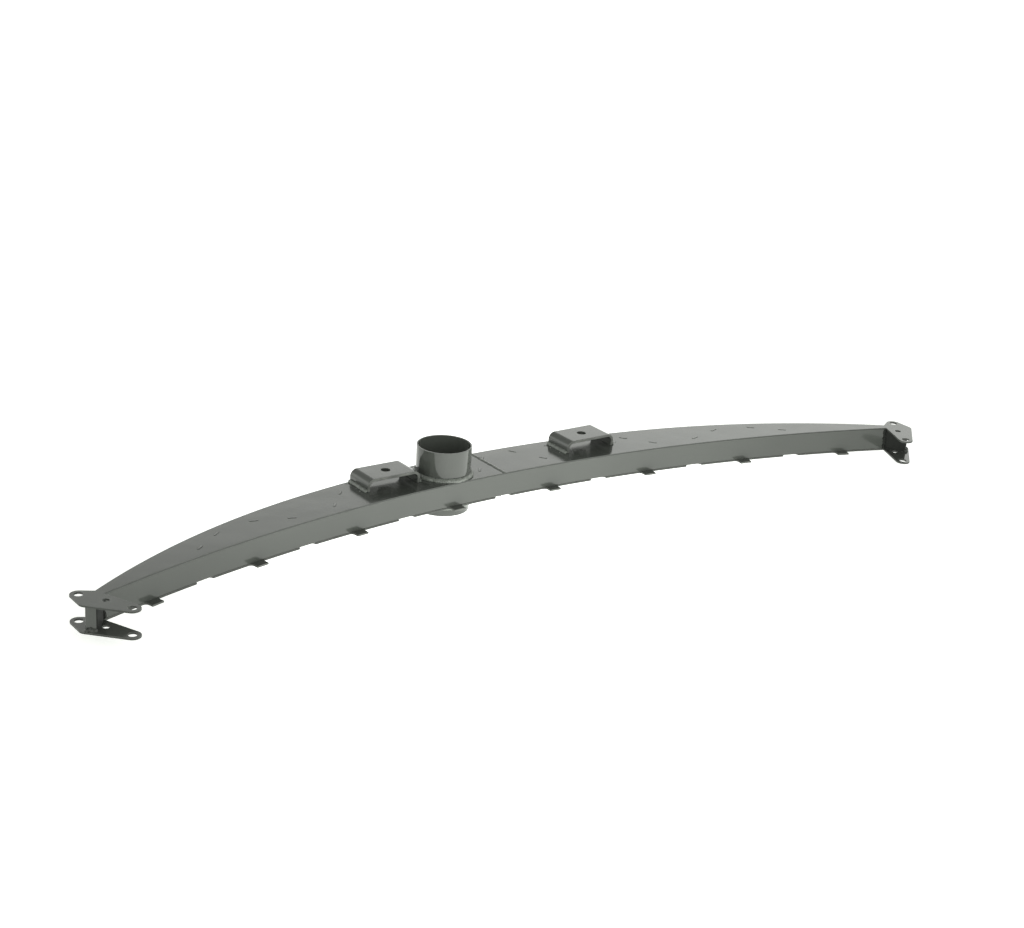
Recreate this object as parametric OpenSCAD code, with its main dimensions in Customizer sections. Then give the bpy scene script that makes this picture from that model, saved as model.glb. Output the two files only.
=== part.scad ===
// Bowed box-section cross beam, welded from laser-cut sheet, with a tube socket through it,
// two hat brackets on top and a two-plate lug with three holes at each end.
// Millimetres. The origin is on the tube's axis, level with the underside of the beam.
// +X runs along the beam, +Y towards its convex rear edge and +Z up along the tube.

/* [Box section] */
// Overall height of the box, plates included
beam_h = 36; // [32:0.5:42]
// Thickness of the top and bottom plates
plate_t = 2.5; // [2:0.5:3]
// Thickness of the front and rear webs, the end channels and the ribs
sheet_t = 2.5; // [2:0.1:2.8]
// Distance from a plate's edge to the web beneath it
web_setback = 0.8; // [0.6:0.1:1]
// Radius of the concave front edge
front_r = 1990; // [1960:5:2020]
// Front edge's distance in front of the tube's axis, at mid-length
front_reach = 40.5; // [40.5:0.5:42]
// Radius of the convex rear edge over its middle stretch
rear_r = 1400; // [1390:5:1420]
// Radius of the convex rear edge towards each end
rear_end_r = 1030; // [1020:5:1050]
// Half-length of the rear edge's middle stretch
rear_blend_x = 300; // [290:5:310]
// Rear edge's distance behind the tube's axis, at mid-length
rear_reach = 43.5; // [43.5:0.5:45]
// Half-length of the webs
web_half = 639; // [637:1:640]

/* [Tube socket] */
// Outside diameter of the tube
tube_d = 76.1; // [74:0.1:76.1]
// Wall thickness of the tube
tube_wall = 2; // [1.5:0.5:4]
// Height of the tube above the top plate
tube_above = 41; // [30:1:60]
// Length of the tube below the bottom plate
tube_below = 14; // [8:1:30]
// Distance from the tube's axis to the beam's middle, along the beam
tube_offset = 76; // [72:1:78]
// Width on the plate of the fillet welds round the tube
tube_weld_w = 3.3; // [3:0.1:3.3]
// Height up the tube of the same welds
tube_weld_h = 5; // [3:0.5:7]

/* [Edge tabs and drain notches] */
// Spacing of the tabs along the beam, and of the notches between them
tab_pitch = 163; // [158:1:164]
// Width of a tab
tab_w = 18; // [14:1:24]
// How far a tab stands out from the front edge
tab_l = 11.5; // [8:0.5:18]
// Radius in the corner beside a tab
tab_fillet = 5; // [3:1:6]
// Length of a drain notch
notch_l = 26; // [20:1:30]
// Depth of a drain notch
notch_depth = 6; // [5:0.5:8]
// Radius of a drain notch's inner corners
notch_r = 5; // [3:1:5]

/* [Hat brackets] */
// Distance from the beam's middle to each bracket's bolt hole
bracket_x = 166.5; // [166:0.5:172]
// How far the bolt hole lies behind the tube's axis
bracket_y = 5; // [3:0.5:6]
// Width of a bracket along the beam
bracket_w = 83; // [76:1:83]
// Depth of a bracket across the beam
bracket_depth = 46; // [40:1:47]
// Height of a bracket above the top plate
bracket_h = 17.5; // [17.5:0.5:24]
// Thickness of the bracket's strip
bracket_t = 4; // [3:0.5:5]
// Radius inside the bracket's bends
bracket_bend = 6; // [4:0.5:6]
// Diameter of the bracket's bolt hole
bracket_hole = 13; // [12.5:0.5:14]
// Leg length of the fillet welds along the bracket's feet
bracket_weld = 4.5; // [3:0.5:5]

/* [Weld nuts] */
// Width of a nut across its flats
nut_flats = 19; // [18:1:19]
// Height of a nut
nut_h = 4; // [3:0.5:8]
// Diameter of the nut's thread, taken at its crests
nut_thread = 10.2; // [8.5:0.1:11]

/* [End lugs] */
// Diameter of the lug's two bolt holes
lug_hole = 11; // [10:0.5:13]
// Diameter of the smaller hole between them
pilot_hole = 8.5; // [6:0.5:8.5]
// Radius of the lug's rounded corners
lug_r = 10.5; // [9.5:0.5:12]

/* [Seams] */
// Width of the butt-weld bead where the plate halves meet
seam_w = 5; // [4:0.5:6]
// Height of that bead above the plate
seam_h = 1.2; // [0.8:0.1:1.5]

/* [Hidden] */

$fn = 96;
long_arc_fn = 1440;     // facets on the beam's long arcs, before they become true arcs
arc_steps = 12;         // steps round each corner of an outline
edge_steps = 60;        // straight runs along one half of a plate's long edge
run_steps = 6;          // straight runs between a tab and the notch beside it
play = 0.2;             // gap round a tube or a rib's tab in the hole cut for it
cut = 1;                // how far a cutting shape runs past the face it cuts
far_x = 800;            // further from the beam's middle than any piece, along the beam
far_y = 300;            // the same, across the beam
rib_reach = 200;        // longer than any rib, which the webs' insides then trim
plate_half = 641;       // the plates' front edge ends here, where the lug turns away from it
plate_rear_half = 647;  // the rear edge runs on to here
cavity_h = beam_h - 2 * plate_t;
top_z = beam_h - plate_t;
tube_length = beam_h + tube_above + tube_below;

// Centres of the lug's rounded corners, measured from the beam's middle to its right end
LUG_FRONT = [629.5, -197.5];
LUG_KNEE = [667.5, -159.5];
LUG_OUTER = [667.5, -136];
PILOT = [647, -165];
// Inner face of the end channel's sheet, from the front web's end round to the rear web's end
CHANNEL_PATH = [
    [644.4, -145.2], [647.5, -152.8], [661.8, -169.6], [668.7, -162.8], [654, -145.5], [641.7, -135.9]
];
END_WELD_FRONT = [640.6, -144.8];
END_WELD_REAR = [641.1, -133.2];
// Ribs: place along the beam and distance in from the edge, for the front and the rear tab
RIB_OUTER = [485.5, 20.5, 448, 17.5];
RIB_MIDDLE = [339.5, 21.5, 387.5, 22.5];
RIB_INNER = [269, 23, 240.5, 24.5];
RIB_SEAM_LEFT = [-25, 25.5, 5.5, 21.5];
RIB_SEAM_RIGHT = [84, 27, 59.5, 17.5];
rib_tab = 11;           // length of a rib's tab
rib_proud = 0.5;        // how far a tab stands above the top plate
rib_clear = 0.5;        // gap between a rib's end and the web's inner face
weld_r = 2.4;           // radius of the upright beads at the webs' ends
foot_weld = 4;          // leg length of the fillet at the end channel's foot

PAINT = [0.44, 0.45, 0.43];
WELD = [0.50, 0.51, 0.49];
PLATED = [0.62, 0.61, 0.57];

blend_angle = asin(rear_blend_x / rear_r);
front_centre = [0, -front_reach - front_r];
rear_centre = [0, rear_reach - rear_r];
rear_end_shift = (rear_r - rear_end_r) * [sin(blend_angle), cos(blend_angle)];
rear_end_centre = rear_centre + rear_end_shift;

// Front and rear edge of the plates at a distance x from the beam's middle
function front_y(x) = front_centre.y + sqrt(front_r * front_r - x * x);
function rear_middle_y(x) = rear_centre.y + sqrt(rear_r * rear_r - x * x);
function rear_end_y(x) = rear_end_centre.y + sqrt(pow(rear_end_r, 2) - pow(abs(x) - rear_end_centre.x, 2));
function rear_y(x) = abs(x) < rear_blend_x ? rear_middle_y(x) : rear_end_y(x);

// ---- shared shapes ----

// Points along an arc, both ends included; one point when there is no turn
function arc_points(centre, r, from, turn) = [
    for (i = [0 : turn == 0 ? 0 : arc_steps])
        centre + r * [cos(from + turn * i / arc_steps), sin(from + turn * i / arc_steps)]
];
// Heading from one point to the next, and the angle turned between two headings, 0 to 360
function heading(a, b) = atan2(b.y - a.y, b.x - a.x);
function turn_left(from, to) = (to - from + 720) % 360;
// Round corner at the middle point of three, on the right of the way through them
function round_corner(before, at, after, r) =
    arc_points(at, r, heading(before, at) - 90, turn_left(heading(before, at), heading(at, after)));

// Sheet folded round the outside of a path that only turns left; the path is its inner face
module folded_sheet(path, t) {
    last = len(path) - 1;
    outer = [
        for (i = [0 : last])
            let (
                arrive = heading(path[max(i - 1, 0)], path[max(i, 1)]),
                leave = heading(path[min(i, last - 1)], path[min(i + 1, last)])
            )
                each arc_points(path[i], t, arrive - 90, turn_left(arrive, leave))
    ];
    polygon(concat(outer, [for (i = [last : -1 : 0]) path[i]]));
}

// Everything in front of the rear edge moved in by an inset, out to a half-length
module behind_edge(inset, half) {
    join_x = rear_blend_x * (rear_r - inset) / rear_r;
    for (side = [0, 1]) mirror([side, 0]) {
        intersection() {
            translate([0, -far_y]) square([join_x, 2 * far_y]);
            translate(rear_centre) circle(rear_r - inset, $fn = long_arc_fn);
        }
        intersection() {
            translate([join_x, -far_y]) square([half - join_x, 2 * far_y]);
            translate(rear_end_centre) circle(rear_end_r - inset, $fn = long_arc_fn);
        }
    }
}

// The beam's crescent, with its edges moved in by an inset
module crescent(inset, half) {
    difference() {
        behind_edge(inset, half);
        translate(front_centre) circle(front_r + inset, $fn = long_arc_fn);
    }
}

// Points carried to a place on the front edge; their +y runs square to the edge, into the beam
function at_front_edge(x, points) = let (a = -asin(x / front_r)) [
    for (p = points) [x + p.x * cos(a) - p.y * sin(a), front_y(x) + p.x * sin(a) + p.y * cos(a)]
];
// The plain front edge between two places along the beam
function front_run(from, to, steps) = [
    for (i = [0 : steps]) let (x = from + (to - from) * i / steps) [x, front_y(x)]
];

// Edge tab with a round fillet in each corner beside it
tab_root = tab_w / 2 + tab_fillet;
TAB = concat(
    arc_points([-tab_root, -tab_fillet], tab_fillet, 90, -90),
    [[-tab_w / 2, -tab_l], [tab_w / 2, -tab_l]],
    arc_points([tab_root, -tab_fillet], tab_fillet, 180, -90)
);
// Right half of a drain notch, and a whole one
HALF_NOTCH = concat(
    [[0, notch_depth]],
    arc_points([notch_l / 2 - notch_r, notch_depth - notch_r], notch_r, 90, -90),
    [[notch_l / 2, 0]]
);
NOTCH = concat([for (i = [len(HALF_NOTCH) - 1 : -1 : 0]) [-HALF_NOTCH[i].x, HALF_NOTCH[i].y]], HALF_NOTCH);

// Front edge with four tabs and the notches between them
function tabbed_front() = concat(
    at_front_edge(0, HALF_NOTCH),
    [
        for (i = [0 : 3]) let (notch = i * tab_pitch, tab = notch + tab_pitch / 2) each concat(
            i == 0 ? [] : at_front_edge(notch, NOTCH),
            front_run(notch + notch_l / 2 + cut, tab - tab_root - cut, run_steps),
            at_front_edge(tab, TAB),
            i == 3 ? [] : front_run(tab + tab_root + cut, notch + tab_pitch - notch_l / 2 - cut, run_steps)
        )
    ],
    front_run(3.5 * tab_pitch + tab_root + cut, plate_half, run_steps)
);

// Right half of a plate, anticlockwise: its front edge, round the lug, and back along the rear edge
function half_outline(front) = let (
    front_end = [plate_half, front_y(plate_half)],
    rear_end = [plate_rear_half, rear_y(plate_rear_half)]
) concat(
    front,
    round_corner(front_end + lug_r * [1, 0], LUG_FRONT, LUG_KNEE, lug_r),
    round_corner(LUG_FRONT, LUG_KNEE, LUG_OUTER, lug_r),
    round_corner(LUG_KNEE, LUG_OUTER, rear_end - lug_r * [0, 1], lug_r),
    [for (i = [edge_steps : -1 : 0]) let (x = plate_rear_half * i / edge_steps) [x, rear_y(x)]]
);

module plate_holes() {
    for (point = [LUG_FRONT, LUG_OUTER]) translate(point) circle(d = lug_hole);
    translate(PILOT) circle(d = pilot_hole);
}

module tube_hole() {
    translate([-tube_offset, 0]) circle(d = tube_d + 2 * play);
}

// Places a shape drawn from the beam's middle into the part's own frame
module from_middle() {
    translate([tube_offset, 0, 0]) children();
}

// ---- ribs ----

function tab_point_front(rib) = [rib[0], front_y(rib[0]) + rib[1]];
function tab_point_rear(rib) = [rib[2], rear_y(rib[2]) - rib[3]];
function mirrored(rib) = [-rib[0], rib[1], -rib[2], rib[3]];

RIBS = [
    mirrored(RIB_OUTER), mirrored(RIB_MIDDLE), mirrored(RIB_INNER), RIB_SEAM_LEFT,
    RIB_SEAM_RIGHT, RIB_INNER, RIB_MIDDLE, RIB_OUTER
];

// Footprint of a rib's two tabs, grown by a gap when it is the slot cut for them
module rib_tabs(rib, gap) {
    run = tab_point_rear(rib) - tab_point_front(rib);
    for (point = [tab_point_front(rib), tab_point_rear(rib)])
        translate(point) rotate(atan2(run.y, run.x))
            square([rib_tab + 2 * gap, sheet_t + 2 * gap], center = true);
}

// Flat diagonal rib between the webs, with two tabs up through the top plate
module rib(rib) {
    start = tab_point_front(rib);
    run = tab_point_rear(rib) - start;
    color(PAINT) from_middle() {
        translate([0, 0, plate_t]) linear_extrude(cavity_h) intersection() {
            translate(start) rotate(atan2(run.y, run.x)) square([2 * rib_reach, sheet_t], center = true);
            crescent(web_setback + sheet_t + rib_clear, web_half);
        }
        translate([0, 0, top_z - cut]) linear_extrude(plate_t + cut + rib_proud) rib_tabs(rib, 0);
    }
}

// ---- plates ----

// Half of the top plate; side is 0 for the right half and 1 for the left one
module top_plate(side) {
    color(PAINT) from_middle() translate([0, 0, top_z]) linear_extrude(plate_t) difference() {
        mirror([side, 0]) difference() {
            polygon(half_outline(front_run(0, plate_half, edge_steps)));
            plate_holes();
        }
        if (side == 1) tube_hole();
        for (rib = RIBS) rib_tabs(rib, play);
    }
}

module bottom_plate(side) {
    color(PAINT) from_middle() linear_extrude(plate_t) difference() {
        mirror([side, 0]) difference() {
            polygon(half_outline(tabbed_front()));
            plate_holes();
        }
        if (side == 1) tube_hole();
    }
}

// ---- webs and end channels ----

// Each web is in two halves that meet under the plates' seam; side is 0 right, 1 left
module front_web(side) {
    reach = asin(web_half / front_r);
    color(PAINT) from_middle() mirror([side, 0, 0]) translate([front_centre.x, front_centre.y, plate_t])
        rotate(90 - reach) rotate_extrude(angle = reach, $fn = long_arc_fn)
            translate([front_r + web_setback, 0]) square([sheet_t, cavity_h]);
}

module rear_web(side) {
    color(PAINT) from_middle() mirror([side, 0, 0]) translate([0, 0, plate_t])
        linear_extrude(cavity_h) difference() {
            behind_edge(web_setback, web_half);
            behind_edge(web_setback + sheet_t, web_half + cut);
            translate([-far_x, -far_y]) square([far_x, 2 * far_y]);
        }
}

// Folded sheet that closes the box and holds the two lug plates apart
module end_channel(side) {
    color(PAINT) from_middle() mirror([side, 0, 0]) translate([0, 0, plate_t])
        linear_extrude(cavity_h) folded_sheet(CHANNEL_PATH, sheet_t);
}

// ---- tube socket ----

module centre_tube() {
    color(PAINT) translate([0, 0, -tube_below]) difference() {
        cylinder(h = tube_length, d = tube_d);
        translate([0, 0, -cut]) cylinder(h = tube_length + 2 * cut, d = tube_d - 2 * tube_wall);
    }
}

// Fillet weld round the tube, standing up (1) or hanging down (-1) from a plate
module tube_weld_ring(z, up) {
    bore = tube_d / 2;
    color(WELD) translate([0, 0, z]) rotate_extrude()
        polygon([[bore, 0], [bore + tube_weld_w, 0], [bore, up * tube_weld_h]]);
}

// ---- hat brackets ----

module bracket_section() {
    outer = bracket_bend + bracket_t;
    half = bracket_w / 2;
    shoulder = bracket_h - outer;
    for (side = [0, 1]) mirror([side, 0]) {
        translate([half - bracket_t, 0]) square([bracket_t, shoulder]);
        translate([half - outer, shoulder]) intersection() {
            difference() {
                circle(outer);
                circle(bracket_bend);
            }
            square(outer);
        }
        translate([-cut, bracket_h - bracket_t]) square([half - outer + cut, bracket_t]);
    }
}

// Strip bent into a hat, open to the front and rear, with one bolt hole in its top
module bracket(side) {
    color(PAINT) from_middle() mirror([side, 0, 0]) translate([bracket_x, bracket_y, beam_h]) difference() {
        translate([0, bracket_depth / 2, 0]) rotate([90, 0, 0])
            linear_extrude(bracket_depth) bracket_section();
        cylinder(h = bracket_h + cut, d = bracket_hole);
    }
}

// Two fillet welds, one along each foot's outer face
module bracket_welds(side) {
    color(WELD) from_middle() mirror([side, 0, 0])
        translate([bracket_x, bracket_y + bracket_depth / 2, beam_h]) rotate([90, 0, 0])
            linear_extrude(bracket_depth) for (foot = [0, 1]) mirror([foot, 0])
                translate([bracket_w / 2, 0]) polygon([[0, 0], [bracket_weld, 0], [0, bracket_weld]]);
}

// Hexagonal nut welded under the bracket's top
module weld_nut(side) {
    color(PLATED) from_middle() mirror([side, 0, 0])
        translate([bracket_x, bracket_y, beam_h + bracket_h - bracket_t - nut_h]) difference() {
            cylinder(h = nut_h, d = nut_flats / cos(30), $fn = 6);
            translate([0, 0, -cut]) cylinder(h = nut_h + 2 * cut, d = nut_thread);
        }
}

// ---- seam and end welds ----

// Bead across a plate where its halves meet; up is 1 on the top plate and -1 below the bottom one,
// where the bead stops at the drain notch
module seam_weld(z, up) {
    bead_r = (pow(seam_w / 2, 2) + pow(seam_h, 2)) / (2 * seam_h);
    length = rear_reach + front_reach - (up > 0 ? 0 : notch_depth);
    color(WELD) from_middle() translate([0, rear_reach, z]) rotate([90, 0, 0])
        linear_extrude(length) intersection() {
            translate([0, up * (seam_h - bead_r)]) circle(bead_r);
            translate([-seam_w, up > 0 ? 0 : -2 * seam_h]) square([2 * seam_w, 2 * seam_h]);
        }
}

// Upright beads between the webs and the end channel, and a fillet at the channel's foot
module end_welds(side) {
    knee = CHANNEL_PATH[2];
    run = CHANNEL_PATH[3] - knee;
    color(WELD) from_middle() mirror([side, 0, 0]) {
        difference() {
            for (point = [END_WELD_FRONT, END_WELD_REAR])
                translate([point.x, point.y, plate_t]) cylinder(h = cavity_h, r = weld_r);
            translate([0, 0, plate_t - cut]) linear_extrude(cavity_h + 2 * cut) {
                folded_sheet(CHANNEL_PATH, sheet_t);
                difference() {
                    crescent(web_setback, web_half);
                    crescent(web_setback + sheet_t, web_half + cut);
                }
            }
        }
        translate([knee.x, knee.y, plate_t]) rotate(atan2(run.y, run.x)) rotate([90, 0, 90])
            linear_extrude(norm(run)) polygon([[sheet_t, 0], [sheet_t + foot_weld, 0], [sheet_t, foot_weld]]);
    }
}

top_plate(1);  // top_plate_left
top_plate(0);  // top_plate_right
bottom_plate(1);  // bottom_plate_left
bottom_plate(0);  // bottom_plate_right
front_web(1);  // front_web_left
front_web(0);  // front_web_right
rear_web(1);  // rear_web_left
rear_web(0);  // rear_web_right
end_channel(1);  // left_end_channel
end_channel(0);  // right_end_channel
centre_tube();
tube_weld_ring(beam_h, 1);  // tube_top_weld
tube_weld_ring(0, -1);  // tube_bottom_weld
bracket(1);  // left_bracket
bracket(0);  // right_bracket
bracket_welds(1);  // left_bracket_welds
bracket_welds(0);  // right_bracket_welds
weld_nut(1);  // left_weld_nut
weld_nut(0);  // right_weld_nut
seam_weld(beam_h, 1);  // top_seam_weld
seam_weld(0, -1);  // bottom_seam_weld
end_welds(1);  // left_end_welds
end_welds(0);  // right_end_welds
rib(RIBS[0]);  // rib_left_outer
rib(RIBS[1]);  // rib_left_middle
rib(RIBS[2]);  // rib_left_inner
rib(RIBS[3]);  // rib_seam_left
rib(RIBS[4]);  // rib_seam_right
rib(RIBS[5]);  // rib_right_inner
rib(RIBS[6]);  // rib_right_middle
rib(RIBS[7]);  // rib_right_outer
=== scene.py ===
import math
import random

import bpy
from mathutils import Matrix, Vector


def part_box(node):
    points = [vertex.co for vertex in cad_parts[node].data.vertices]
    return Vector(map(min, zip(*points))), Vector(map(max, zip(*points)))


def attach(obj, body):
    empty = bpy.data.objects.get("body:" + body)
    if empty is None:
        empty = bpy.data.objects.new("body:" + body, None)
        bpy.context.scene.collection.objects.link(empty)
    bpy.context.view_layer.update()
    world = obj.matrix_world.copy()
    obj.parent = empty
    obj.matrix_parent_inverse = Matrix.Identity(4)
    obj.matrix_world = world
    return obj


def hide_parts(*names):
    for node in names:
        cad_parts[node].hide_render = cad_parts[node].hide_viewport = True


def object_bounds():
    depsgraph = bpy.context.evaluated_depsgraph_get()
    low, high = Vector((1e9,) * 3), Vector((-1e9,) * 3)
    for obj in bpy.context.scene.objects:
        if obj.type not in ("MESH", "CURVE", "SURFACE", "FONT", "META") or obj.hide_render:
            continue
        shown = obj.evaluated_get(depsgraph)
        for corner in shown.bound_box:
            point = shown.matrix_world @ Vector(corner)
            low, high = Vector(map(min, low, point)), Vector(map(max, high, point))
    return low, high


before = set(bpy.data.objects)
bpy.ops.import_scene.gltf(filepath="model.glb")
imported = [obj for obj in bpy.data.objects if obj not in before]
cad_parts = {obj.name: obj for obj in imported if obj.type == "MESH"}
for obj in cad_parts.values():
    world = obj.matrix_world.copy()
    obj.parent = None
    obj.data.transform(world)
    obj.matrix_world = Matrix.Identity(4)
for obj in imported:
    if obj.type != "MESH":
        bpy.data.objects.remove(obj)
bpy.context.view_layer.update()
bpy.ops.object.select_all(action="DESELECT")


# ---- Top and bottom plates ----
# Four crescent halves, laser-cut from 2.5 mm mild steel with the end lugs in one piece with them.
# Their cut edges are only lightly broken. They are welded to the webs, then the whole beam is
# sprayed in a gloss grey-green enamel, which is thin and paler where it pulls back from the edges.
CUT_EDGE = 0.00035
SHARP_CORNER = math.radians(40)
SAME_POINT = 0.000002
SAME_FLAT = math.radians(0.2)
ENAMEL = (0.058, 0.063, 0.056)
THIN_ENAMEL = (0.12, 0.125, 0.115)
# How fine each unevenness of the paint is, in patches to the metre, and how deep its relief is.
CLOUDS = 7
DUST_NIBS = 1400
WORN_PATCHES = 60
GLOSS_PATCHES = 14
ORANGE_PEEL = 420
PEEL_DEPTH = 0.0004
SHEET_WAVES = 22
WAVE_DEPTH = 0.0008
WAVE_STRENGTH = 0.25


def shade(factor):
    """The beam's enamel, made darker or paler."""
    return tuple(factor * c for c in ENAMEL)


def enamel(name, tone, roughness, peel, specular=0.5):
    """Enamel on steel: cloudy tone, orange peel, fine dust nibs, and thin paint along the edges."""
    material = bpy.data.materials.new(name)
    material.use_nodes = True
    nodes, links = material.node_tree.nodes, material.node_tree.links
    shader = nodes["Principled BSDF"]
    shader.inputs["IOR"].default_value = 1.5
    shader.inputs["Specular IOR Level"].default_value = specular
    place = nodes.new("ShaderNodeTexCoord")

    def noise(scale, detail):
        texture = nodes.new("ShaderNodeTexNoise")
        texture.inputs["Scale"].default_value = scale
        texture.inputs["Detail"].default_value = detail
        links.new(place.outputs["Object"], texture.inputs["Vector"])
        return texture.outputs["Fac"]

    def remap(value, low, high, to_low, to_high):
        ramp = nodes.new("ShaderNodeMapRange")
        ramp.inputs["From Min"].default_value = low
        ramp.inputs["From Max"].default_value = high
        ramp.inputs["To Min"].default_value = to_low
        ramp.inputs["To Max"].default_value = to_high
        links.new(value, ramp.inputs["Value"])
        return ramp.outputs["Result"]

    def blend(factor, first, second):
        mix = nodes.new("ShaderNodeMix")
        mix.data_type = "RGBA"
        links.new(factor, mix.inputs["Factor"])
        for colour, socket in ((first, mix.inputs["A"]), (second, mix.inputs["B"])):
            if isinstance(colour, tuple):
                socket.default_value = (*colour, 1)
            else:
                links.new(colour, socket)
        return mix.outputs["Result"]

    def relief(texture, strength, depth):
        bump = nodes.new("ShaderNodeBump")
        bump.inputs["Strength"].default_value = strength
        bump.inputs["Distance"].default_value = depth
        links.new(texture, bump.inputs["Height"])
        return bump

    # Broad, faint clouds from uneven spraying.
    clouds = remap(noise(CLOUDS, 3), 0.3, 0.7, 0, 1)
    body = blend(clouds, tuple(0.93 * c for c in tone), tuple(1.06 * c for c in tone))
    # Dust nibs caught in the wet paint.
    nibs = remap(noise(DUST_NIBS, 1), 0.72, 0.78, 0, 0.35)
    body = blend(nibs, body, THIN_ENAMEL)
    # Thin paint along broken edges, in patches.
    edge = nodes.new("ShaderNodeAttribute")
    edge.attribute_name = "edge_wear"
    patches = nodes.new("ShaderNodeMath")
    patches.operation = "MULTIPLY"
    links.new(edge.outputs["Fac"], patches.inputs[0])
    links.new(remap(noise(WORN_PATCHES, 4), 0.35, 0.65, 0.35, 1), patches.inputs[1])
    links.new(blend(patches.outputs[0], body, THIN_ENAMEL), shader.inputs["Base Color"])
    # Gloss that varies a little over the sheet.
    gloss = remap(noise(GLOSS_PATCHES, 4), 0.3, 0.7, roughness * 0.85, roughness * 1.2)
    links.new(gloss, shader.inputs["Roughness"])
    # Orange peel, laid over a slow waviness of the sheet.
    peel_relief = relief(noise(ORANGE_PEEL, 2), peel, PEEL_DEPTH)
    wave_relief = relief(noise(SHEET_WAVES, 1), WAVE_STRENGTH, WAVE_DEPTH)
    links.new(peel_relief.outputs["Normal"], wave_relief.inputs["Normal"])
    links.new(wave_relief.outputs["Normal"], shader.inputs["Normal"])
    return material


def select_only(piece):
    """Selects one piece and nothing else."""
    bpy.ops.object.select_all(action="DESELECT")
    piece.select_set(True)
    bpy.context.view_layer.objects.active = piece


def edit_only(piece):
    """Opens one piece for editing with everything in it selected."""
    select_only(piece)
    bpy.ops.object.mode_set(mode="EDIT")
    bpy.ops.mesh.select_mode(type="VERT")
    bpy.ops.mesh.select_all(action="SELECT")


def finish_piece(piece, material, slot, *nodes):
    """Puts on the paint, and makes the piece ride on the beam in place of its CAD nodes."""
    piece.data.materials.clear()
    piece.data.materials.append(material)
    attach(piece, "root")
    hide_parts(*nodes)


def copied(node, name):
    """A copy of a CAD node's mesh as a piece of its own, merged into one skin, its flats cleared."""
    piece = bpy.data.objects.new(name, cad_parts[node].data.copy())
    bpy.context.scene.collection.objects.link(piece)
    edit_only(piece)
    bpy.ops.mesh.remove_doubles(threshold=SAME_POINT)
    bpy.ops.mesh.dissolve_limited(angle_limit=SAME_FLAT)
    bpy.ops.object.mode_set(mode="OBJECT")
    return piece


def broken_edges(piece, width, segments=2):
    """Rounds off a piece's sharp edges, marks those rounds for wear and keeps its flats shaded flat."""
    edit_only(piece)
    bpy.ops.mesh.select_all(action="DESELECT")
    bpy.ops.mesh.select_mode(type="EDGE")
    bpy.ops.mesh.edges_select_sharp(sharpness=SHARP_CORNER)
    bpy.ops.mesh.bevel(offset=width, segments=segments, affect="EDGES", clamp_overlap=False)
    bpy.ops.object.mode_set(mode="OBJECT")
    wear = piece.data.attributes.new("edge_wear", "FLOAT", "FACE")
    for face in piece.data.polygons:
        wear.data[face.index].value = 1.0 if face.select else 0.0
    bpy.ops.object.shade_smooth_by_angle(angle=SHARP_CORNER)
    flats = piece.modifiers.new("flats", "WEIGHTED_NORMAL")
    flats.weight = 100
    flats.keep_sharp = True
    bpy.ops.object.modifier_apply(modifier=flats.name)
    return piece


def paint_faces(piece, material, wanted):
    """Gives the faces for which wanted is true a second paint."""
    piece.data.materials.append(material)
    for face in piece.data.polygons:
        if wanted(face):
            face.material_index = 1


# The laser leaves the plates' sides striated, so the paint on them is dull. It is also darker and
# reflects less than on the faces: painted shade, for the dark line of shade in the gap under each
# plate's edge.
UPRIGHT = 0.1
plate_paint = enamel("plate_enamel", ENAMEL, 0.13, 0.1)
painted_shade_paint = enamel("painted_shade_enamel", shade(0.7), 0.4, 0.3, specular=0.3)
for node in ("top_plate_left", "top_plate_right", "bottom_plate_left", "bottom_plate_right"):
    sheet = broken_edges(copied(node, node + "_sheet"), CUT_EDGE)
    finish_piece(sheet, plate_paint, "body_paint", node)
    # Painted shade: the upright sides take the darker paint.
    paint_faces(sheet, painted_shade_paint, lambda face: abs(face.normal.z) < UPRIGHT)


# ---- Front and rear webs ----
# Strips of the same sheet rolled to the plates' curves. Each web's two halves are butted under the
# plates' seam and dressed flush, so each reads as one strip from end to end.
BUTT_GAP = 0.00002


def join(pieces):
    """Makes one object of several pieces."""
    bpy.ops.object.select_all(action="DESELECT")
    for piece in pieces:
        piece.select_set(True)
    bpy.context.view_layer.objects.active = pieces[0]
    bpy.ops.object.join()
    return bpy.context.object


seam_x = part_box("front_web_right")[0].x
for web in ("front_web", "rear_web"):
    halves = [web + "_left", web + "_right"]
    strip = join([copied(half, half + "_strip") for half in halves])
    strip.name = web + "_strip"
    edit_only(strip)
    bpy.ops.mesh.select_all(action="DESELECT")
    bpy.ops.object.mode_set(mode="OBJECT")
    for face in strip.data.polygons:
        face.select = abs(face.normal.x) > 0.99 and abs(face.center.x - seam_x) < 5 * BUTT_GAP
    bpy.ops.object.mode_set(mode="EDIT")
    bpy.ops.mesh.select_mode(type="FACE")
    bpy.ops.mesh.delete(type="FACE")
    bpy.ops.mesh.select_all(action="SELECT")
    bpy.ops.mesh.remove_doubles(threshold=BUTT_GAP)
    bpy.ops.object.mode_set(mode="OBJECT")
    finish_piece(broken_edges(strip, CUT_EDGE), plate_paint, "body_paint", *halves)


# ---- End channels ----
# Folded from the same sheet, they close the box behind each lug and hold its two plates apart.
# Every face of a channel except those turned out from the beam's end is painted dark and dull, and
# reflects little: painted shade, for the shade in the pocket behind the lug.
pocket_shade_paint = enamel("pocket_shade_enamel", shade(0.3), 0.55, 0.3, specular=0.1)
for side, hand in (("left", -1), ("right", 1)):
    node = side + "_end_channel"
    channel = broken_edges(copied(node, node + "_sheet"), CUT_EDGE)
    finish_piece(channel, plate_paint, "body_paint", node)
    # Painted shade: every face except the outward ones takes the dark pocket paint.
    paint_faces(channel, pocket_shade_paint, lambda face: hand * face.normal.x < UPRIGHT)


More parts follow.
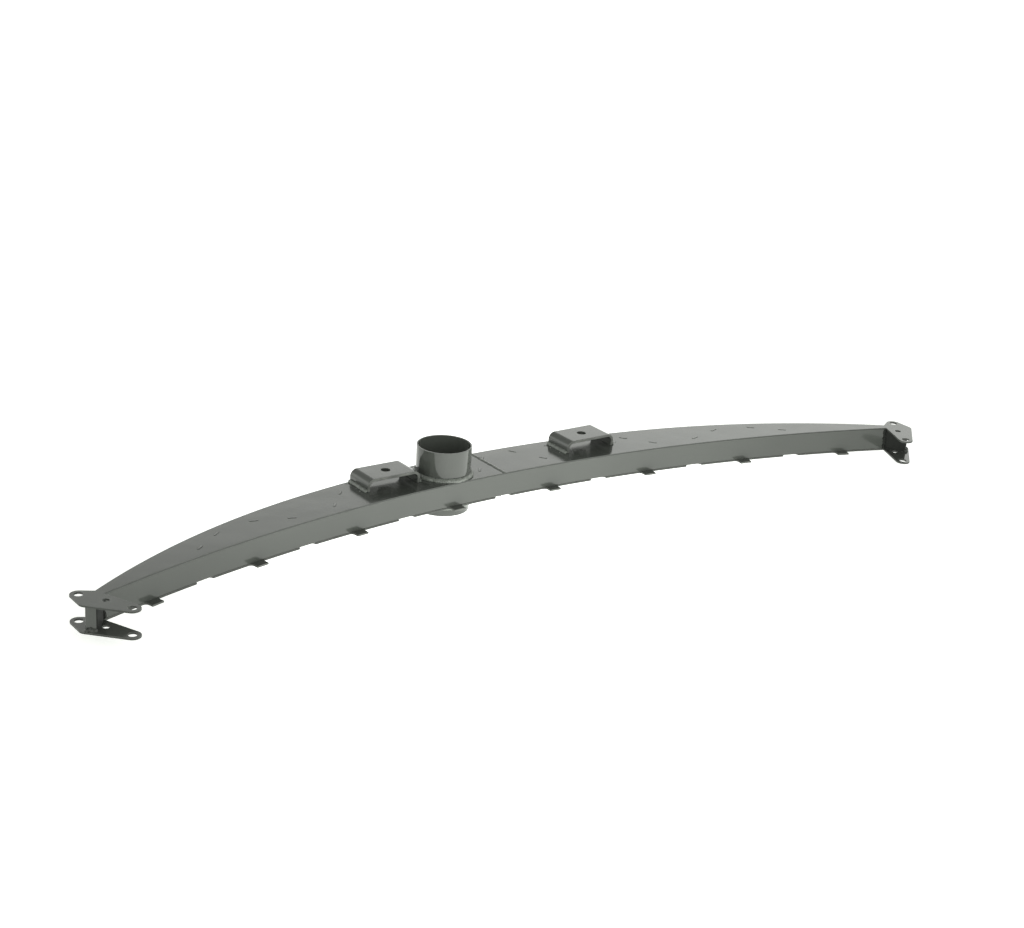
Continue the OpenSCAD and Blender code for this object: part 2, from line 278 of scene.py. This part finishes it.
# ---- Ribs ----
# Eight flat pieces of sheet that stand slantwise in the box, between the webs. Each has two tabs,
# which come up through slots in the top plate and stand a little proud of it.
RIB_EDGE = 0.0003
for node in sorted(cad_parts):
    if node.startswith("rib_"):
        rib = broken_edges(copied(node, node + "_sheet"), RIB_EDGE)
        finish_piece(rib, plate_paint, "body_paint", node)


# ---- Tube socket ----
# A stub of thin-walled steel tube that stands through both plates, sawn square at both ends and
# deburred, so only its rims are broken.
TUBE_EDGE = 0.0004
tube_paint = enamel("tube_enamel", ENAMEL, 0.07, 0.04)
stub = broken_edges(copied("centre_tube", "centre_tube_stub"), TUBE_EDGE, 3)
finish_piece(stub, tube_paint, "body_paint", "centre_tube")


# ---- Hat brackets and their weld nuts ----
# Strips of 4 mm flat bar bent into hats, each with a hex nut welded under its hole. The bends are
# formed in a press, and the bar's cut edges are broken more than the thin sheet's.
BAR_EDGE = 0.0006
nut_paint = enamel("nut_enamel", shade(2.5), 0.25, 0.3)
for side in ("left", "right"):
    node = side + "_bracket"
    hat = broken_edges(copied(node, node + "_hat"), BAR_EDGE, 3)
    finish_piece(hat, plate_paint, "body_paint", node)
    # Painted shade: the bar's front and back faces take the darker paint of the plates' sides.
    paint_faces(hat, painted_shade_paint, lambda face: abs(face.normal.y) > 0.9)
    node = side + "_weld_nut"
    nut = broken_edges(copied(node, node + "_hex"), BAR_EDGE, 3)
    finish_piece(nut, nut_paint, "nut_steel", node)


# ---- Weld rings round the tube ----
# Gas-shielded fillet welds laid by hand in the corner between tube and plate, above and below. A
# bead is a row of overlapping ripples, a little uneven, under paint that pools between them.
BEAD_VOXEL = 0.0004
LUMP_SIZE = 0.006
RIPPLE = 0.0028
RIPPLE_LEAN = math.radians(-24)
RING_WIDTH = 0.0038
RING_HEIGHT = 0.0054
RING_OUT = 0.38
RING_HALF_ACROSS = 0.0036
RING_HALF_THICK = 0.0021
RING_RIPPLES = 84
RING_LUMPS = 0.0016
# The beads wear the beam's enamel, painted more than twice as pale: painted highlight for the rounded
# beads.
bead_highlight_paint = enamel("bead_highlight_enamel", shade(2.2), 0.18, 0.3)


def ripple(centre, half_along, half_across, half_thick, turn):
    """One ripple of a bead, as a flattened ball; turn stands it square to the bead."""
    bpy.ops.object.select_all(action="DESELECT")
    bpy.ops.mesh.primitive_uv_sphere_add(segments=20, ring_count=12, radius=1)
    ball = bpy.context.object
    size = Matrix.Diagonal((half_along, half_across, half_thick, 1))
    ball.matrix_world = Matrix.Translation(centre) @ turn @ size
    bpy.ops.object.transform_apply(location=True, rotation=True, scale=True)
    return ball


def fuse(piece, name, unevenness):
    """Melts a row of ripples into one bead with an uneven skin."""
    piece.name = name
    piece.data.name = name
    select_only(piece)
    piece.data.remesh_voxel_size = BEAD_VOXEL
    bpy.ops.object.voxel_remesh()
    lumps = bpy.data.textures.new(name + "_lumps", "CLOUDS")
    lumps.noise_scale = LUMP_SIZE
    uneven = piece.modifiers.new("uneven", "DISPLACE")
    uneven.texture = lumps
    uneven.texture_coords = "LOCAL"
    uneven.strength = unevenness
    uneven.mid_level = 0.5
    bpy.ops.object.modifier_apply(modifier=uneven.name)
    soft = piece.modifiers.new("soft", "SMOOTH")
    soft.factor = 0.5
    soft.iterations = 2
    bpy.ops.object.modifier_apply(modifier=soft.name)
    bpy.ops.object.shade_smooth()
    return piece


tube_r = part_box("centre_tube")[1].x
beam_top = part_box("top_plate_left")[1].z
for end, z, up in (("top", beam_top, 1), ("bottom", 0, -1)):
    centre = (tube_r + RING_OUT * RING_WIDTH, 0, z + up * RING_OUT * RING_HEIGHT)
    across = Matrix.Rotation(math.radians(90), 4, "Z")
    slope = Matrix.Rotation(up * math.atan2(RING_HEIGHT, RING_WIDTH), 4, "X")
    turn = across @ slope @ Matrix.Rotation(RIPPLE_LEAN, 4, "Y")
    ball = ripple(centre, RIPPLE, RING_HALF_ACROSS, RING_HALF_THICK, turn)
    edit_only(ball)
    bpy.ops.mesh.spin(
        steps=RING_RIPPLES, dupli=True, angle=2 * math.pi, center=(0, 0, 0), axis=(0, 0, 1))
    bpy.ops.object.mode_set(mode="OBJECT")
    ring = fuse(ball, f"tube_{end}_weld_ring", RING_LUMPS)
    finish_piece(ring, bead_highlight_paint, "weld_paint", f"tube_{end}_weld")


# ---- Bracket foot welds ----
# A fillet bead along the outside of each bracket foot, as wide as its leg is high. A few balls of
# spatter have frozen on the plate beside it and were painted over.
FOOT_STOP = 0.003
FOOT_OUT = 0.34
FOOT_ACROSS = 0.64
FOOT_THICK = 0.4
FOOT_SLOPE = math.radians(45)
FOOT_WANDER = 0.0003
FOOT_LUMPS = 0.0008
FOOT_SEED = 5
SPATTER_BALLS = 6
SPATTER_AWAY = (0.001, 0.007)
SPATTER_SIZE = (0.0006, 0.001)
SPATTER_SEED = 40


def row_of_ripples(start, end, pitch, half_across, half_thick, wander, seed, slope=0.0):
    """Ripples from start to end, wandering a little; slope turns them about the bead's line."""
    chance = random.Random(seed)
    start, end = Vector(start), Vector(end)
    run = end - start
    facing = run.normalized().to_track_quat("X", "Z").to_matrix().to_4x4()
    turn = facing @ Matrix.Rotation(slope, 4, "X") @ Matrix.Rotation(RIPPLE_LEAN, 4, "Y")
    count = max(2, round(run.length / pitch))
    balls = []
    for i in range(count + 1):
        place = start + run * (i / count) + Vector([chance.uniform(-wander, wander) for _ in range(3)])
        size = chance.uniform(0.93, 1.07)
        balls.append(ripple(place, 0.95 * pitch, half_across * size, half_thick * size, turn))
    return join(balls)


for side in ("left", "right"):
    bracket_lo, bracket_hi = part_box(side + "_bracket")
    weld_lo, weld_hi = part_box(side + "_bracket_welds")
    leg = weld_hi.z - weld_lo.z
    beads = []
    for foot, edge in ((-1, bracket_lo.x), (1, bracket_hi.x)):
        x = edge + foot * FOOT_OUT * leg
        z = weld_lo.z + FOOT_OUT * leg
        beads.append(row_of_ripples(
            (x, bracket_lo.y + FOOT_STOP, z), (x, bracket_hi.y - FOOT_STOP, z), RIPPLE,
            FOOT_ACROSS * leg, FOOT_THICK * leg, FOOT_WANDER, FOOT_SEED + foot,
            slope=FOOT_SLOPE * foot))
        chance = random.Random(SPATTER_SEED + foot)
        for _ in range(SPATTER_BALLS):
            away = edge + foot * (leg + chance.uniform(*SPATTER_AWAY))
            size = chance.uniform(*SPATTER_SIZE)
            spot = (away, chance.uniform(bracket_lo.y, bracket_hi.y), weld_lo.z)
            beads.append(ripple(spot, size, size, size, Matrix()))
    bead = fuse(join(beads), side + "_bracket_weld_beads", FOOT_LUMPS)
    finish_piece(bead, bead_highlight_paint, "weld_paint", side + "_bracket_welds")


# ---- Seam welds ----
# Low beads across the beam, above and below, where the plates' two pieces are butted together.
# They stand only about a millimetre high.
SEAM_RIPPLE = 0.0024
SEAM_STOP = 0.0025
SEAM_HALF_ACROSS = 0.0026
SEAM_HALF_THICK = 0.0009
SEAM_WANDER = 0.0002
SEAM_LUMPS = 0.0004
SEAM_SEED = 11
for end in ("top", "bottom"):
    seam_lo, seam_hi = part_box(end + "_seam_weld")
    z = seam_lo.z if end == "top" else seam_hi.z
    row = row_of_ripples(
        (seam_x, seam_lo.y + SEAM_STOP, z), (seam_x, seam_hi.y - SEAM_STOP, z), SEAM_RIPPLE,
        SEAM_HALF_ACROSS, SEAM_HALF_THICK, SEAM_WANDER, SEAM_SEED)
    bead = fuse(row, end + "_seam_bead", SEAM_LUMPS)
    finish_piece(bead, bead_highlight_paint, "weld_paint", end + "_seam_weld")


# ---- End welds ----
# Ragged upright beads where the webs meet the end channel, and one along the channel's foot. The
# upright beads lie in the pocket and are painted dark with it, as painted shade; the foot bead, out of
# the pocket, takes the plates' sides' painted shade, a little less dark. Places are from the beam's
# middle.
WEB_END_BEADS = ((0.6408, -0.1450), (0.6410, -0.1334))
WEB_END_STOP = 0.002
WEB_END_HALF_ACROSS = 0.0028
WEB_END_HALF_THICK = 0.0024
WEB_END_WANDER = 0.0009
WEB_END_SEED = 21
CHANNEL_BEAD = ((0.6638, -0.1712), (0.6702, -0.1649))
CHANNEL_BEAD_UP = 0.001
CHANNEL_BEAD_HALF = 0.0034
CHANNEL_BEAD_WANDER = 0.0006
CHANNEL_BEAD_SEED = 31
END_LUMPS = 0.0022
POCKET_REACH = 0.65
for side, hand in (("left", -1), ("right", 1)):
    weld_lo, weld_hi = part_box(side + "_end_welds")
    beads = []
    for from_middle, y in WEB_END_BEADS:
        x = seam_x + hand * from_middle
        beads.append(row_of_ripples(
            (x, y, weld_lo.z + WEB_END_STOP), (x, y, weld_hi.z - WEB_END_STOP), RIPPLE,
            WEB_END_HALF_ACROSS, WEB_END_HALF_THICK, WEB_END_WANDER, WEB_END_SEED + hand))
    foot_z = weld_lo.z + CHANNEL_BEAD_UP
    near, far = [(seam_x + hand * from_middle, y, foot_z) for from_middle, y in CHANNEL_BEAD]
    beads.append(row_of_ripples(
        near, far, RIPPLE,
        CHANNEL_BEAD_HALF, CHANNEL_BEAD_HALF, CHANNEL_BEAD_WANDER, CHANNEL_BEAD_SEED + hand))
    bead = fuse(join(beads), side + "_end_weld_beads", END_LUMPS)
    # Painted shade: the pocket's dark paint on the beads, and the sides' darker paint on the foot bead.
    finish_piece(bead, pocket_shade_paint, "weld_paint", side + "_end_welds")
    paint_faces(bead, painted_shade_paint, lambda face: hand * (face.center.x - seam_x) > POCKET_REACH)


# ---- Floor ----
# A sheet of white paper under the tube's foot, lit from below, most strongly in front of the
# beam's middle.
ROOM_TINT = (0.98, 1.0, 0.96)
FLOOR_SIZE = 60
FLOOR_GAP = 0.0002
GLOW_MIDDLE = (0.12, -0.3, 0)
GLOW_FROM, GLOW_TO = 0.15, 0.75
GLOW_NEAR, GLOW_FAR = 2.0, 0.62
floor_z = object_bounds()[0].z - FLOOR_GAP
bpy.ops.object.select_all(action="DESELECT")
bpy.ops.mesh.primitive_plane_add(size=FLOOR_SIZE, location=(0, 0, floor_z))
floor = bpy.context.object
floor.name = "floor"
paper = bpy.data.materials.new("floor_paper")
paper.use_nodes = True
paper_nodes, paper_links = paper.node_tree.nodes, paper.node_tree.links
paper_shader = paper_nodes["Principled BSDF"]
paper_shader.inputs["Base Color"].default_value = (0.8, 0.8, 0.8, 1)
paper_shader.inputs["Roughness"].default_value = 0.9
paper_shader.inputs["Specular IOR Level"].default_value = 0.0
paper_shader.inputs["Emission Color"].default_value = (*ROOM_TINT, 1)
paper_place = paper_nodes.new("ShaderNodeTexCoord")
distance = paper_nodes.new("ShaderNodeVectorMath")
distance.operation = "DISTANCE"
distance.inputs[1].default_value = GLOW_MIDDLE
glow = paper_nodes.new("ShaderNodeMapRange")
glow.interpolation_type = "SMOOTHSTEP"
glow.inputs["From Min"].default_value = GLOW_FROM
glow.inputs["From Max"].default_value = GLOW_TO
glow.inputs["To Min"].default_value = GLOW_NEAR
glow.inputs["To Max"].default_value = GLOW_FAR
paper_links.new(paper_place.outputs["Object"], distance.inputs[0])
paper_links.new(distance.outputs["Value"], glow.inputs["Value"])
paper_links.new(glow.outputs["Result"], paper_shader.inputs["Emission Strength"])
floor.data.materials.append(paper)


# ---- Room and lamp ----
# A white room, bright at the horizon and dark overhead, and one weak soft lamp in front.
# ROOM pairs the sine of the angle above the horizon with the brightness there.
ROOM = ((0.0, 1.9), (0.31, 1.8), (0.366, 1.5), (0.43, 0.85), (0.6, 0.6), (0.8, 0.4), (1.0, 0.22))
BRIGHTEST = 3.0
world = bpy.data.worlds.new("white_room")
world.use_nodes = True
room_nodes, room_links = world.node_tree.nodes, world.node_tree.links
room_nodes["Background"].inputs["Color"].default_value = (*ROOM_TINT, 1)
direction = room_nodes.new("ShaderNodeTexCoord")
height = room_nodes.new("ShaderNodeSeparateXYZ")
brightness = room_nodes.new("ShaderNodeFloatCurve")
brightness.mapping.clip_max_y = BRIGHTEST
steps = brightness.mapping.curves[0].points
steps[0].location = ROOM[0]
steps[1].location = ROOM[-1]
for point in ROOM[1:-1]:
    steps.new(*point)
brightness.mapping.update()
room_links.new(direction.outputs["Generated"], height.inputs["Vector"])
room_links.new(height.outputs["Z"], brightness.inputs["Value"])
room_links.new(brightness.outputs["Value"], room_nodes["Background"].inputs["Strength"])
bpy.context.scene.world = world
bpy.context.scene.view_settings.view_transform = "Standard"

LAMP_PLACE = Vector((0.15, -1.3, 0.5))
LAMP_AIM = Vector((0.1, 0, 0))
lamp = bpy.data.lights.new("front_softbox", "AREA")
lamp.shape = "RECTANGLE"
lamp.size = 1.0
lamp.size_y = 0.5
lamp.energy = 5
soft_box = bpy.data.objects.new("front_softbox", lamp)
bpy.context.scene.collection.objects.link(soft_box)
soft_box.location = LAMP_PLACE
soft_box.rotation_mode = "QUATERNION"
soft_box.rotation_quaternion = (LAMP_AIM - LAMP_PLACE).to_track_quat("-Z", "Y")


# ---- Camera ----
# It stands in front and to the left of the beam, a little above it, and is rolled by a few degrees.
CAMERA_TARGET = Vector((0.1175, 0, 0.02821))
CAMERA_BACK = Vector((-0.56396, -0.74697, 0.35211))
CAMERA_DISTANCE = 2.66247
CAMERA_ROLL = math.radians(3.847)
lens = bpy.data.cameras.new("camera")
lens.sensor_width = 36
lens.lens = 66.476
camera = bpy.data.objects.new("camera", lens)
bpy.context.scene.collection.objects.link(camera)
camera.matrix_world = (
    Matrix.Translation(CAMERA_TARGET + CAMERA_BACK.normalized() * CAMERA_DISTANCE)
    @ (-CAMERA_BACK).to_track_quat("-Z", "Y").to_matrix().to_4x4()
    @ Matrix.Rotation(CAMERA_ROLL, 4, "Z")
)
bpy.context.scene.camera = camera
